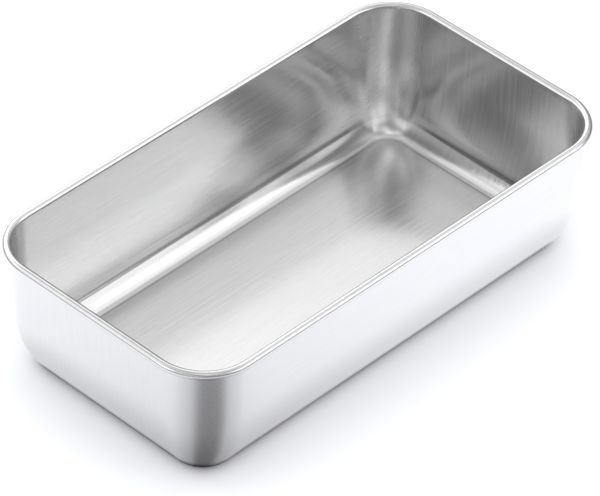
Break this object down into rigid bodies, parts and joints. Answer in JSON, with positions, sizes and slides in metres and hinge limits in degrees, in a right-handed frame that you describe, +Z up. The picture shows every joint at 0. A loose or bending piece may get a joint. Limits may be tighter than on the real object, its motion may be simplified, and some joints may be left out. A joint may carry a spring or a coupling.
{
  "type": "loaf pan",
  "caption": "Deep rectangular baking pan with rounded corners, near-upright walls that curve into a flat base, and a rolled rim stiffened by a wire.",
  "frame": {"origin": "middle of the pan's footprint, on the surface that its flat base stands on", "axes": "+X along the pan's long sides, +Y across it to the rear long side, +Z up out of the open top"},
  "size_m": [0.235, 0.126, 0.061],
  "materials": {
    "pan_steel": "satin stainless steel with a fine straight grain along the pan",
    "wire_steel": "dull drawn wire"
  },
  "bodies": {
    "root": {"pan_shell": "pan_steel", "rim_wire": "wire_steel"}
  },
  "joints": []
}
